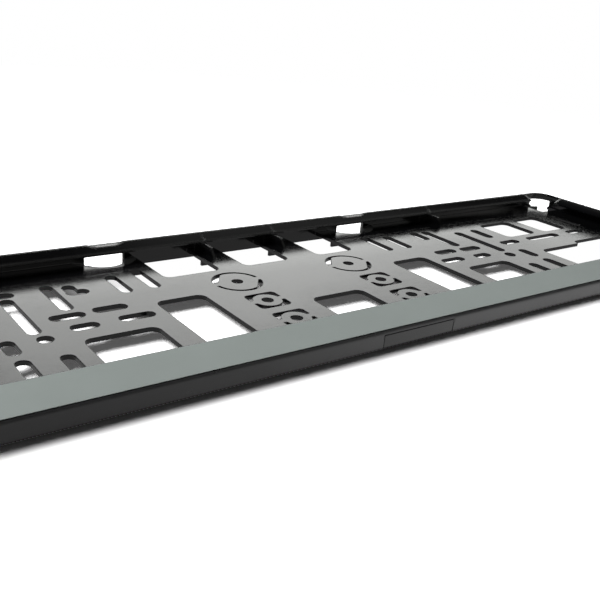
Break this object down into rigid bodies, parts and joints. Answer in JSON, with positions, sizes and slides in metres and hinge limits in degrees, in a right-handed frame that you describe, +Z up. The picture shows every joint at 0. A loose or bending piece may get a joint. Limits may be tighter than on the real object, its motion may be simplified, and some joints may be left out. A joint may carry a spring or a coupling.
{
  "type": "number plate holder",
  "caption": "Long black plastic frame that holds a car number plate, with a lipped rim, a perforated floor with screw pads and a clip-on front strip.",
  "frame": {"origin": "centre of the holder's plan, on the table that it lies on", "axes": "+X along the length, +Y from the clip-on strip to the rear rim, +Z up, away from the car body"},
  "size_m": [0.532, 0.138, 0.0136],
  "materials": {
    "carrier": "black moulded plastic, satin",
    "strip": "black moulded plastic, satin",
    "film": "plain grey printed field, matt"
  },
  "bodies": {
    "root": {"carrier": "carrier", "front_strip": "strip", "strip_film": "film"}
  },
  "joints": []
}
